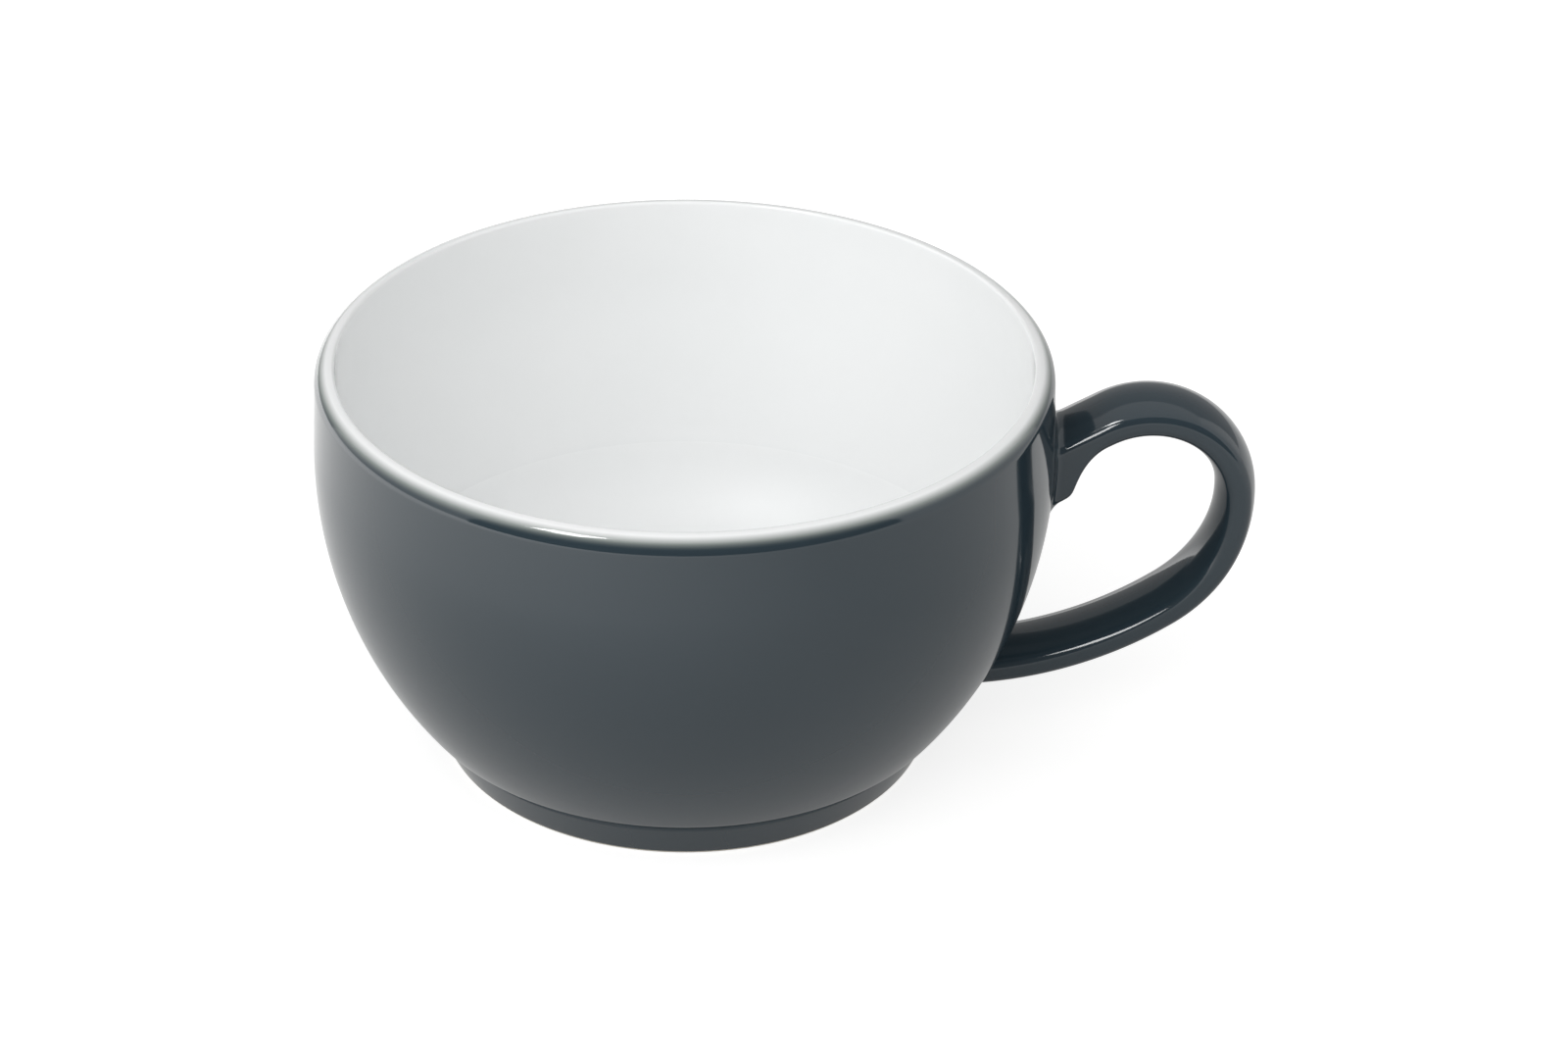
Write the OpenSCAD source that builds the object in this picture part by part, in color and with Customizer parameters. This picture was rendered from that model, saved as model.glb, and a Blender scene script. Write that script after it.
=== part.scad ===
// Cappuccino cup: a wide porcelain bowl on a turned foot ring, with a cast loop handle.
// Millimetres, +Z up, the origin on the table at the middle of the foot, the handle along +X.
// All sizes are of the glazed cup; the clay under a glaze is smaller by the glaze.

/* [Bowl] */
// Height of the rim above the table
cup_h = 60.6; // [54:0.2:68]
// Largest outside diameter, at the belly
belly_d = 105; // [92:0.5:118]
// Height of the belly above the table
belly_z = 45.4; // [42:0.2:48]
// Radius of the curve that the wall follows from the foot to the belly
belly_curve_r = 63.2; // [58:0.2:70]
// Inward lean of the wall above the belly, in degrees
collar_lean = 3.2; // [1:0.2:6]
// Thickness of the wall
wall_t = 2.8; // [2.4:0.1:3.6]
// Radius of the outer half of the rim's rounding, as a share of the wall's thickness
lip_outer_share = 0.89; // [0.55:0.01:0.89]
// Thickness of the floor
floor_t = 4.2; // [3.2:0.1:5.4]
// Flat middle of the floor, as a share of the foot ring's diameter at the groove
floor_flat_share = 0.6; // [0.4:0.02:0.7]
// Radius of the bowl's lower edge, over the groove
hem_r = 0.8; // [0.6:0.05:1.2]

/* [Foot ring] */
// Height of the foot ring up to the groove
foot_h = 6.5; // [5:0.1:8]
// Diameter of the foot ring at the groove, as a share of the belly's diameter
foot_top_share = 0.733; // [0.69:0.001:0.76]
// Diameter of the foot ring at the table, as a share of the belly's diameter
foot_base_share = 0.676; // [0.64:0.001:0.7]
// Thickness of the foot ring at the table
foot_wall_t = 3; // [2:0.1:5]
// Radius of the foot ring's lower outer edge
foot_base_r = 1; // [0.7:0.1:1.4]
// Radius of the foot ring's upper outer edge
foot_brow_r = 0.6; // [0.5:0.05:0.9]
// Height of the turned groove between the foot ring and the bowl
groove_h = 0.9; // [0.6:0.1:1.4]
// Depth of the groove behind the foot ring's upper edge
groove_depth = 0.7; // [0.4:0.1:1]
// Height of the recess under the floor
recess_h = 3.2; // [2:0.1:4]
// Height of the bare clay at the foot's edge, wiped clean before the firing
bare_h = 0.6; // [0.4:0.1:1]

/* [Handle] */
// Width of the handle across its faces
handle_w = 11.4; // [9:0.1:13]
// Thickness of the handle between its outer and inner faces
handle_t = 5.6; // [4.8:0.1:6.4]
// Rise of the handle's domed faces above their edges
face_crown = 1.4; // [1:0.1:1.7]
// Radius of the handle's long edges
edge_r = 1.5; // [1:0.1:1.7]
// Height at which the handle's centre line leaves the wall
neck_z = 46.2; // [42:0.2:48]
// Climb of the neck, in degrees above level
neck_rise = 29; // [22:0.5:36]
// Length of the straight neck
neck_l = 8.1; // [7:0.1:9.5]
// Radius of the loop's upper turn
loop_r = 12.9; // [11.5:0.1:14]
// Angle of the loop's upper turn
loop_turn = 113; // [108:0.5:118]
// Radius of the loop's outer turn
flank_r = 21.6; // [19:0.2:24]
// Angle of the loop's outer turn
flank_turn = 60.5; // [56:0.5:65]
// Radius of the lower arm
arm_r = 54.6; // [50:0.2:60]
// Angle of the lower arm
arm_turn = 32; // [30:0.5:34]
// Drop of the heel under the neck
heel_drop = 4.8; // [3.4:0.1:5.4]
// Length of the heel's level tip, along the neck from the wall
heel_tip_l = 3.6; // [3:0.1:4.4]
// Length over which the corner of the tip is rounded
heel_nose_l = 0.7; // [0.4:0.1:1.2]
// Length over which the heel then fades into the neck
heel_fade_l = 8; // [7:0.1:10]
// Radius of the slip fillet round the neck
neck_fillet_r = 1.5; // [1:0.1:2]
// Radius of the slip fillet round the arm
arm_fillet_r = 1; // [0.6:0.1:1.4]

/* [Glaze and slip] */
// Thickness of the fired glaze
glaze_t = 0.3; // [0.2:0.05:0.4]
// Angle above level at which the colour ends on the rim's rounding
colour_end = 46; // [20:1:60]
// Depth to which a slip joint is keyed into the wall
slip_key = 0.5; // [0.3:0.1:0.8]
// Margin by which a slip joint stays inside the handle's outline
slip_margin = 1.2; // [1:0.1:1.6]

/* [Hidden] */
$fn = 144;
// Overrun of cuts past the faces that they open
over = 1;
// Largest gap between an arc and its chords
sag = 0.005;
// Clearance that keeps the handle's faceted ends off the round wall
seat_gap = 0.02;
// Reach of half planes that trim outlines, past the whole cup
reach = belly_d;

// Bowl: the wall's curve turns about one centre, and its clay and inside are concentric
curve_c = [belly_d/2 - belly_curve_r, belly_z];
hollow_curve_r = belly_curve_r - wall_t;
lean_out = [cos(collar_lean), sin(collar_lean)];
// The lower edge sits over the groove
hem_z = foot_h + groove_h;
hem_c = [curve_x(belly_curve_r - hem_r, hem_z + hem_r), hem_z + hem_r];
hem_angle = angle_of(hem_c - curve_c);
// The rim is rounded by two arcs that meet at its crown, each tangent to its side of the wall
lip_outer_r = lip_outer_share*wall_t;
lip_inner_r = (wall_t - lip_outer_r*(1 - lean_out.y))/(1 + lean_out.y);
collar_foot = curve_c + belly_curve_r*lean_out;
collar_rise = cup_h - lip_outer_r*(1 - lean_out.y) - collar_foot.y;
lip_x = collar_foot.x - collar_rise*tan(collar_lean) - lip_outer_r*lean_out.x;
lip_outer_c = [lip_x, cup_h - lip_outer_r];
lip_inner_c = [lip_x, cup_h - lip_inner_r];
// The foot ring keeps to the belly
foot_top_d = foot_top_share*belly_d;
foot_base_d = foot_base_share*belly_d;
// The floor's curve starts where its flat middle ends, and is tangent to the wall's inside
floor_z = recess_h + floor_t;
floor_end = [floor_flat_share*foot_top_d/2, floor_z] - curve_c;
floor_curve_r = (hollow_curve_r*hollow_curve_r - floor_end*floor_end)/2/(hollow_curve_r + floor_end.y);
floor_c = curve_c + floor_end + [0, floor_curve_r];
floor_angle = angle_of(floor_c - curve_c);

// Foot ring: its side tapers in towards the table
taper = atan((foot_top_d - foot_base_d)/2/foot_h);
foot_base_c = [foot_side_x(foot_base_r) - foot_base_r/cos(taper), foot_base_r];
foot_brow_c = [foot_side_x(foot_h - foot_brow_r) - foot_brow_r/cos(taper), foot_h - foot_brow_r];
groove_x = foot_top_d/2 - groove_depth - glaze_t;
bore_x = foot_base_d/2 - foot_wall_t;

// Handle: each leg of its centre line is a length and the radius that it turns on, 0 for straight
legs = [[neck_l, 0],
        [turn_length(loop_r, loop_turn), loop_r],
        [turn_length(flank_r, flank_turn), flank_r],
        [turn_length(arm_r, arm_turn), arm_r],
        [0, 0]];
legs_l = legs[0][0] + legs[1][0] + legs[2][0] + legs[3][0];
neck_pose = [curve_x(belly_curve_r, neck_z), neck_z, neck_rise];
arm_end = pose_at(legs_l);
arm_contact = legs_l + run_to_wall(arm_end);
arm_pose = pose_at(arm_contact);
neck_slant = neck_rise - wall_lean(neck_z);
arm_slant = arm_pose[2] + 180 - wall_lean(arm_pose[1]);
neck_run = neck_fillet_r/cos(neck_slant);
arm_run = arm_fillet_r/cos(arm_slant);
arm_fade = arm_contact - arm_run - handle_t;

// Rings of the handle's sweep, each [distance along the centre line, share of the wall's slant, flare, size].
// They follow the wall where they meet it, in a quarter round of slip, and stand square on the loop.
flare_rings = 6;
heel_rings = 12;
loop_rings = 32;
arm_rings = 4;
rings = concat(
    [for (i = [0 : flare_rings])
        let (turn = 90*i/flare_rings) [neck_run*(1 - cos(turn)), 1, neck_fillet_r*(1 - sin(turn)), 1]],
    [for (i = [1 : heel_rings])
        let (part = i/heel_rings) [neck_run + (neck_l - neck_run)*part, 1 - part, 0, 1]],
    [for (i = [1 : loop_rings]) [neck_l + (arm_fade - neck_l)*i/loop_rings, 0, 0, 1]],
    [for (i = [1 : arm_rings])
        let (part = i/arm_rings) [arm_fade + handle_t*part, part, 0, 1]],
    [for (i = [1 : flare_rings])
        let (turn = 90*i/flare_rings)
        [arm_contact - arm_run*(1 - sin(turn)), 1, arm_fillet_r*(1 - cos(turn)), 1]]);
// Smaller and smaller rings close the clay's two ends along the wall
cap_shares = [0.8, 0.6, 0.4, 0.2];
neck_cap = [for (i = [len(cap_shares) - 1 : -1 : 0]) [0, 1, neck_fillet_r, cap_shares[i]]];
arm_cap = [for (share = cap_shares) [arm_contact, 1, arm_fillet_r, share]];

// Section of the handle: a domed face, then an edge rounding, by the angle of the surface's normal
crown_r = (handle_w*handle_w/4 + face_crown*face_crown)/(2*face_crown);
crown_end = asin((handle_w/2 - edge_r)/(crown_r - edge_r));
crown_n = handle_t/2 - crown_r;
edge_n = crown_n + (crown_r - edge_r)*cos(crown_end);
crown_steps = 2;
edge_steps = 3;
face_angles = concat(
    [for (i = [0 : edge_steps - 1]) -90 + (90 - crown_end)*i/edge_steps],
    [for (i = [-crown_steps : crown_steps]) crown_end*i/crown_steps],
    [for (i = [1 : edge_steps]) crown_end + (90 - crown_end)*i/edge_steps]);
// Points on the flat sides, as shares of the way from the outer face's edge to the inner face's
side_shares = [1/3, 2/3];

// Slip pads stay inside the handle's clay
pad_w = handle_w - 2*slip_margin;
neck_pad_top = neck_z + handle_t/2/cos(neck_rise) - slip_margin;
neck_pad_low = neck_z - (handle_t/2 + heel_drop)/cos(neck_rise) + slip_margin;
arm_pad_t = handle_t - 2*slip_margin;

// Points of an arc about c between two angles, or its centre where no radius is left
function arc(c, r, from, to) =
    r <= sag ? [c]
    : let (steps = ceil(abs(to - from)/(2*acos(1 - sag/r))))
      [for (i = [0 : steps]) let (a = from + (to - from)*i/steps) c + r*[cos(a), sin(a)]];
function angle_of(way) = atan2(way.y, way.x);

// Distance from the axis, at height z, of a circle of radius r about the centre of the wall's curve
function curve_x(r, z) = belly_d/2 - belly_curve_r + sqrt(r*r - (z - belly_z)*(z - belly_z));
function foot_side_x(z) = foot_base_d/2 + z*tan(taper);

// Length of an arc, and the pose [x, z, heading] reached along a leg or along the whole line
function turn_length(r, angle) = r*angle*PI/180;
function along(pose, l, r) =
    r == 0 ? [pose[0] + l*cos(pose[2]), pose[1] + l*sin(pose[2]), pose[2]]
    : let (heading = pose[2] - l/r*180/PI)
      [pose[0] + r*(sin(pose[2]) - sin(heading)), pose[1] - r*(cos(pose[2]) - cos(heading)), heading];
function pose_at(s, leg = 0, pose = neck_pose) =
    leg == len(legs) - 1 || s <= legs[leg][0] ? along(pose, s, legs[leg][1])
    : pose_at(s - legs[leg][0], leg + 1, along(pose, legs[leg][0], legs[leg][1]));

// Straight run from a pose to the wall's glazed surface, less than nothing if it is already past it
function run_to_wall(pose) =
    let (from = [pose[0], pose[1]] - curve_c, way = [cos(pose[2]), sin(pose[2])], across = from*way)
    -across - sqrt(across*across - from*from + belly_curve_r*belly_curve_r);

// Extra depth of the heel under the neck at distance s from the wall: level at its tip, round its corner,
// then faded out
function heel(s) =
    let (past = s - heel_tip_l,
         faded = (past + sqrt(past*past + heel_nose_l*heel_nose_l))/2,
         left = max(0, 1 - faded/heel_fade_l))
    heel_drop*left*left;

// Point of a face whose normal leans by angle a, and the whole section, both grown outwards.
// The third value of a section's point is its share of the heel's drop.
function face_point(a, grow) =
    let (on_crown = abs(a) <= crown_end,
         c = on_crown ? [0, crown_n] : [sign(a)*(handle_w/2 - edge_r), edge_n],
         r = (on_crown ? crown_r : edge_r) + grow)
    c + r*[sin(a), cos(a)];
function section(grow) = concat(
    [for (a = face_angles) let (p = face_point(a, grow)) [p.x, p.y, 0]],
    [for (t = side_shares) [handle_w/2 + grow, edge_n*(1 - 2*t), t]],
    [for (a = face_angles) let (p = face_point(-a, grow)) [p.x, -p.y, 1]],
    [for (t = side_shares) [-handle_w/2 - grow, edge_n*(2*t - 1), 1 - t]]);
ring_n = len(section(0));
function place(pose, p) = [pose[0] - p.y*sin(pose[2]), p.x, pose[1] + p.y*cos(pose[2])];

// Height of the wall's outward normal above level, in degrees, and the gap from a point to the glazed wall
function wall_lean(z) = asin((z - belly_z)/belly_curve_r);
function wall_gap(p) =
    let (from = [norm([p.x, p.y]), p.z] - curve_c)
    angle_of(from) > collar_lean ? from*lean_out - belly_curve_r : norm(from) - belly_curve_r;

// Distance along the handle at which a point of its section seats on the wall, closed in on by steps
function neck_seat(p, s = 0, steps = 4) =
    steps == 0 ? s
    : neck_seat(p, s - (wall_gap(place(pose_at(s), p)) - seat_gap)/cos(neck_slant), steps - 1);
function arm_seat(p, s = arm_contact, steps = 4) =
    steps == 0 ? s
    : arm_seat(p, s + (wall_gap(place(pose_at(s), p)) - seat_gap)/cos(arm_slant), steps - 1);

// Points of one ring in space. The heel's depth goes by the distance from where the point seats.
function ring_point(ring, p) =
    let (at_neck = ring[0] < legs_l/2,
         seated = ring[3]*[p.x, p.y - (at_neck ? heel_drop : 0)*p.z],
         seat = at_neck ? neck_seat(seated) : arm_seat(seated) - arm_contact,
         s = ring[0] + ring[1]*seat,
         drop = at_neck ? heel(s - seat) : 0)
    place(pose_at(s), ring[3]*[p.x, p.y - drop*p.z]);
function sweep_points(rings, grow) = [
    for (ring = rings) each [for (p = section(grow + ring[2])) ring_point(ring, p)]];

// Faces of a tube of rings that starts at point number base, seen from outside or from inside
function tube(base, count, outside) = [
    for (i = [0 : count - 2], j = [0 : ring_n - 1])
        let (a = base + i*ring_n + j, b = base + i*ring_n + (j + 1)%ring_n, c = a + ring_n, d = b + ring_n)
        each outside ? [[a, c, b], [b, c, d]] : [[a, b, c], [b, d, c]]];
// Fan that closes the smallest ring, and the rim between an outer and an inner ring
function cap(base, start) = [
    for (j = [1 : ring_n - 2]) start ? [base, base + j, base + j + 1] : [base, base + j + 1, base + j]];
function rim(outer, inner, start) = [
    for (j = [0 : ring_n - 1])
        let (k = (j + 1)%ring_n)
        each start ? [[outer + j, outer + k, inner + j], [outer + k, inner + k, inner + j]]
                   : [[outer + j, inner + j, outer + k], [outer + k, inner + j, inner + k]]];

// Rectangle between two corners, and the whole band between two heights right of the axis
module block(low, high) {
    polygon([low, [high.x, low.y], high, [low.x, high.y]]);
}
module slab(low, high) {
    block([0, low], [reach, high]);
}

// The bowl's outer outline, filled to the axis and grown from the clay
module bowl_outline(grow) {
    polygon(concat(
        [[0, hem_c.y - hem_r + glaze_t - grow]],
        arc(hem_c, hem_r - glaze_t + grow, -90, hem_angle),
        arc(curve_c, belly_curve_r - glaze_t + grow, hem_angle, collar_lean),
        arc(lip_outer_c, lip_outer_r - glaze_t + grow, collar_lean, 90),
        [[0, cup_h - glaze_t + grow]]));
}

// The hollow of the bowl, down to the clay under a skin of the given thickness
module hollow_outline(skin) {
    polygon(concat(
        [[0, floor_z - skin]],
        arc(floor_c, floor_curve_r + skin, -90, floor_angle),
        arc(curve_c, hollow_curve_r + skin, floor_angle, collar_lean),
        arc(lip_inner_c, lip_inner_r - skin, collar_lean + 180, 90),
        [[lip_x, cup_h + over], [0, cup_h + over]]));
}

// The foot ring's outer outline, filled to the axis and grown from the clay
module foot_outline(grow) {
    polygon(concat(
        [[0, glaze_t - grow]],
        arc(foot_base_c, foot_base_r - glaze_t + grow, -90, -taper),
        arc(foot_brow_c, foot_brow_r - glaze_t + grow, -taper, 90),
        [[0, foot_h - glaze_t + grow]]));
}

// Round-ended bars through the wall, along which the slip pads are cut
module pad_bar(w, t) {
    r = min(w, t)/2;
    rotate([0, 90, 0])
        linear_extrude(2*wall_t + 2*over, center = true) {
            square(t > w ? [t - w, w] : [t, w - t], center = true);
            for (end = [-1, 1])
                translate(end*[t/2 - r, w/2 - r]) circle(r);
        }
}
module neck_bar() {
    translate([neck_pose[0], 0, (neck_pad_top + neck_pad_low)/2])
        pad_bar(pad_w, neck_pad_top - neck_pad_low);
}
module arm_bar() {
    translate([arm_pose[0], 0, arm_pose[1]])
        rotate([0, -arm_pose[2], 0])
            pad_bar(pad_w, arm_pad_t);
}

// Layer of the wall that a slip pad fills, from its key in the clay to the glaze's surface
module pad_layer() {
    rotate_extrude()
        difference() {
            bowl_outline(glaze_t);
            bowl_outline(-slip_key);
            slab(lip_outer_c.y, cup_h + over);
            slab(0, hem_c.y);
        }
}

// Jiggered porcelain bowl: wall, rounded rim and the floor that plugs the foot ring
module bowl() {
    color("whitesmoke")
        difference() {
            rotate_extrude()
                difference() {
                    union() {
                        bowl_outline(0);
                        block([0, recess_h + glaze_t], [bore_x + glaze_t, hem_c.y]);
                    }
                    hollow_outline(glaze_t);
                }
            upper_slip_joint();
            lower_slip_joint();
        }
}

// Turned foot ring, tapered, with the groove's neck on top and a bare edge to stand on
module foot_ring() {
    color("ivory")
        rotate_extrude()
            difference() {
                union() {
                    intersection() {
                        foot_outline(glaze_t);
                        slab(0, bare_h);
                    }
                    foot_outline(0);
                    block([0, foot_brow_c.y], [groove_x, hem_z + glaze_t]);
                }
                block([0, bare_h], [bore_x + glaze_t, hem_z + over]);
                polygon([[0, -over], [bore_x + bare_h + over, -over], [bore_x, bare_h],
                         [bore_x, bare_h + over], [0, bare_h + over]]);
            }
}

// Cast porcelain handle, flared by slip where its two ends seat on the wall
module handle() {
    clay_rings = concat(neck_cap, rings, arm_cap);
    count = len(clay_rings);
    color("gainsboro")
        polyhedron(
            points = sweep_points(clay_rings, -glaze_t),
            faces = concat(tube(0, count, true), cap(0, true), cap((count - 1)*ring_n, false)));
}

// Pads of slip keyed into the wall, which hold the handle's two ends
module upper_slip_joint() {
    color("wheat")
        intersection() {
            pad_layer();
            neck_bar();
        }
}
module lower_slip_joint() {
    color("wheat")
        intersection() {
            pad_layer();
            arm_bar();
        }
}

// White glaze of the inside, over the rim's crown to where the colour ends
module inner_glaze() {
    color("white")
        rotate_extrude() {
            difference() {
                hollow_outline(glaze_t);
                hollow_outline(0);
            }
            intersection() {
                difference() {
                    bowl_outline(glaze_t);
                    bowl_outline(0);
                }
                rim_wedge();
            }
        }
}

// Part of the rim's rounding that stays white, seen from the centre of its outer arc
module rim_wedge() {
    polygon([lip_outer_c, lip_outer_c + reach*[cos(colour_end), sin(colour_end)],
             lip_outer_c + [0, reach]]);
}

// Slate glaze of the bowl's outside, from the rim to the groove, open where the slip joints key in
module outer_glaze() {
    color("darkslategray")
        difference() {
            rotate_extrude()
                difference() {
                    bowl_outline(glaze_t);
                    bowl_outline(0);
                    rim_wedge();
                    block([0, lip_outer_c.y], [lip_x, reach]);
                    block([0, 0], [groove_x, hem_c.y]);
                }
            neck_bar();
            arm_bar();
        }
}

// Slate glaze of the foot ring, from the bare edge up its side and into the groove
module foot_glaze() {
    color("darkslategray")
        rotate_extrude()
            difference() {
                union() {
                    intersection() {
                        foot_outline(glaze_t);
                        slab(bare_h, foot_h);
                    }
                    block([0, foot_h - glaze_t], [groove_x + glaze_t, hem_z]);
                }
                foot_outline(0);
                block([0, foot_brow_c.y], [groove_x, hem_z + over]);
            }
}

// Slate glaze of the handle, an even skin that ends on the wall's glaze
module handle_glaze() {
    count = len(rings);
    inner = count*ring_n;
    color("darkslategray")
        polyhedron(
            points = concat(sweep_points(rings, 0), sweep_points(rings, -glaze_t)),
            faces = concat(tube(0, count, true), tube(inner, count, false),
                           rim(0, inner, true), rim(inner - ring_n, 2*inner - ring_n, false)));
}

// White glaze under the floor and down the inside of the foot ring
module underside_glaze() {
    color("white")
        rotate_extrude()
            difference() {
                block([0, bare_h], [bore_x + glaze_t, recess_h + glaze_t]);
                block([0, 0], [bore_x, recess_h]);
            }
}

bowl();
foot_ring();
handle();
upper_slip_joint();
lower_slip_joint();
inner_glaze();
outer_glaze();
foot_glaze();
handle_glaze();
underside_glaze();
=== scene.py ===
"""Looks of a cappuccino cup: glaze coats, bare clay, a plain studio and the camera.

The cup stands on z = 0 with its axis on +Z and its handle along +X. Sizes in the classes are in
millimetres, as a potter gives them, and every mesh is written in metres.
"""

import logging
import math
from collections.abc import Sequence
from dataclasses import dataclass
from enum import Enum

import bpy
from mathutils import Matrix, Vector


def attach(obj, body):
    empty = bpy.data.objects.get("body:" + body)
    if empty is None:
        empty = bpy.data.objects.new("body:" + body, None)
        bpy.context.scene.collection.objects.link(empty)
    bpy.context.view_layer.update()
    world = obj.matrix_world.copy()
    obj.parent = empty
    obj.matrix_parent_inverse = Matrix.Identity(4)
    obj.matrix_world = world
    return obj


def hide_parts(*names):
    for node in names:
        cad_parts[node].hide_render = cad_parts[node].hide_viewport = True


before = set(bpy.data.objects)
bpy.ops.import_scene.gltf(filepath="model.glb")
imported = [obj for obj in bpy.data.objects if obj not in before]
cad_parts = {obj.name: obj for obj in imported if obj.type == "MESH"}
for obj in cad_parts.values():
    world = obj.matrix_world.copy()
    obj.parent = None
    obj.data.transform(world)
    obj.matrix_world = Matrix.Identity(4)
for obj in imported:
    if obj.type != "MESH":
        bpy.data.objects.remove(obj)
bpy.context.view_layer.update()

LOG = logging.getLogger("cup")
MM = 0.001
IMAGE_WIDTH_PX = 1600
IMAGE_HEIGHT_PX = 1071
CREASE_DEGREES = 38
WALL_STEP_MM = 0.7
ROUNDING_STEP_MM = 0.08
PURE_BLACK = (0.0, 0.0, 0.0, 1.0)
PURE_WHITE = (1.0, 1.0, 1.0, 1.0)

Point = tuple[float, float]
Point3 = tuple[float, float, float]
Outline = list[Point]
Colour = tuple[float, float, float, float]


class Slot(Enum):
    """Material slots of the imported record."""

    BISQUE = "bisque_porcelain"
    SLIP = "joining_slip"
    WHITE = "white_glaze"
    SLATE = "slate_glaze"


def linear(hex_colour: str) -> Colour:
    """Turn an sRGB hex colour into the linear values that shaders take.

    Args:
        hex_colour: six hexadecimal digits, such as "4A5156".

    Returns:
        Linear red, green, blue and an alpha of 1.
    """
    values = [int(hex_colour[i:i + 2], 16) / 255 for i in (0, 2, 4)]
    red, green, blue = (v / 12.92 if v <= 0.04045 else ((v + 0.055) / 1.055) ** 2.4 for v in values)
    return (red, green, blue, 1.0)


def smooth_step(low: float, high: float, value: float) -> float:
    """Share from 0 at low to 1 at high, which rises without a corner."""
    share = min(1.0, max(0.0, (value - low) / (high - low)))
    return share * share * (3 - 2 * share)


def shares(count: int) -> list[float]:
    """Equal steps from just above 0 up to 1."""
    return [i / count for i in range(1, count + 1)]


def add_object(name: str, data: bpy.types.ID) -> bpy.types.Object:
    """Make an object and put it in the scene.

    Args:
        name: its name.
        data: its mesh, lamp or camera.

    Returns:
        The object, at the origin.
    """
    made = bpy.data.objects.new(name, data)
    bpy.context.scene.collection.objects.link(made)
    return made


def new_material(name: str) -> tuple[bpy.types.Material, bpy.types.Node]:
    """Make a material.

    Args:
        name: its name.

    Returns:
        The material and its Principled BSDF.
    """
    material = bpy.data.materials.new(name)
    material.use_nodes = True
    return material, material.node_tree.nodes["Principled BSDF"]


def feed(node: bpy.types.Node, inputs: dict) -> None:
    """Link or set a node's inputs.

    Args:
        node: the node.
        inputs: socket name or number to a value, or to an output socket that feeds it.
    """
    for key, value in inputs.items():
        socket = node.inputs[key]
        if isinstance(value, bpy.types.NodeSocket):
            node.id_data.links.new(value, socket)
        else:
            socket.default_value = value


def add_node(tree: bpy.types.NodeTree, kind: str, settings: dict | None = None,
             inputs: dict | None = None) -> bpy.types.Node:
    """Add one node with its settings, and link or set its inputs.

    Args:
        tree: the shader or geometry tree.
        kind: Blender's name of the node type.
        settings: attribute name to value.
        inputs: what its inputs take, as in feed.

    Returns:
        The new node.
    """
    node = tree.nodes.new(kind)
    for name, value in (settings or {}).items():
        setattr(node, name, value)
    feed(node, inputs or {})
    return node


@dataclass(frozen=True)
class Glaze:
    """A fired glaze: glassy, glossy, and thin where it runs off an edge."""

    name: str
    body_hex: str
    thin_and_highlight_hex: str
    pool_hex: str
    roughness: float
    cloud_share: float
    ripple_mm: float = 9.0
    ripple_depth_mm: float = 0.004
    cloud_mm: float = 22.0
    cloud_from: float = 0.35
    cloud_to: float = 0.65
    satin_roughness: float = 0.0
    satin_from_mm: float = 30.0
    satin_to_mm: float = 14.0
    ior: float = 1.5

    def material(self) -> bpy.types.Material:
        """Build the glaze's shader, from Object coordinates and the attribute "thin".

        Returns:
            The material.
        """
        material, shader = new_material(self.name)
        tree = material.node_tree
        place = add_node(tree, "ShaderNodeTexCoord").outputs["Object"]
        thin = add_node(tree, "ShaderNodeAttribute", {"attribute_name": "thin"}).outputs["Fac"]
        # Clouds: the coat is poured by hand, so it is a little thicker here and there
        cloud = add_node(tree, "ShaderNodeTexNoise", {"noise_dimensions": "3D"},
                         {"Vector": place, "Scale": 1 / (self.cloud_mm * MM), "Detail": 3.0})
        depth = add_node(tree, "ShaderNodeMapRange", {},
                         {"Value": cloud.outputs["Fac"], "From Min": self.cloud_from,
                          "From Max": self.cloud_to, "To Max": self.cloud_share})
        pooled = add_node(tree, "ShaderNodeMix", {"data_type": "RGBA"},
                          {"Factor": depth.outputs["Result"], "A": linear(self.body_hex),
                           "B": linear(self.pool_hex)})
        # Thinner glaze over an edge lets the white clay through; on the foot's brow the same mix is
        # a painted highlight
        broken = add_node(tree, "ShaderNodeMix", {"data_type": "RGBA"},
                          {"Factor": thin, "A": pooled.outputs[2], "B": linear(self.thin_and_highlight_hex)})
        # Ripple: the molten coat never levels out fully, which bends reflections a little
        ripple = add_node(tree, "ShaderNodeTexNoise", {"noise_dimensions": "3D"},
                          {"Vector": place, "Scale": 1 / (self.ripple_mm * MM), "Detail": 1.0})
        bump = add_node(tree, "ShaderNodeBump", {},
                        {"Height": ripple.outputs["Fac"], "Distance": self.ripple_depth_mm * MM,
                         "Strength": 1.0})
        feed(shader, {"Base Color": broken.outputs[2], "Normal": bump.outputs["Normal"],
                      "Roughness": self.roughness, "IOR": self.ior})
        if self.satin_roughness:
            self._satin_floor(shader, place)
        return material

    def _satin_floor(self, shader: bpy.types.Node, place: bpy.types.NodeSocket) -> None:
        """Dull the thick coat towards the floor, so that it keeps no sharp image of a lamp.

        Args:
            shader: the glaze's Principled BSDF.
            place: Object coordinates.
        """
        tree = shader.id_data
        height = add_node(tree, "ShaderNodeSeparateXYZ", {}, {"Vector": place})
        satin = add_node(tree, "ShaderNodeMapRange", {"interpolation_type": "SMOOTHSTEP"},
                         {"Value": height.outputs["Z"], "From Min": self.satin_to_mm * MM,
                          "From Max": self.satin_from_mm * MM, "To Min": self.satin_roughness,
                          "To Max": self.roughness})
        feed(shader, {"Roughness": satin.outputs["Result"]})


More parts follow.
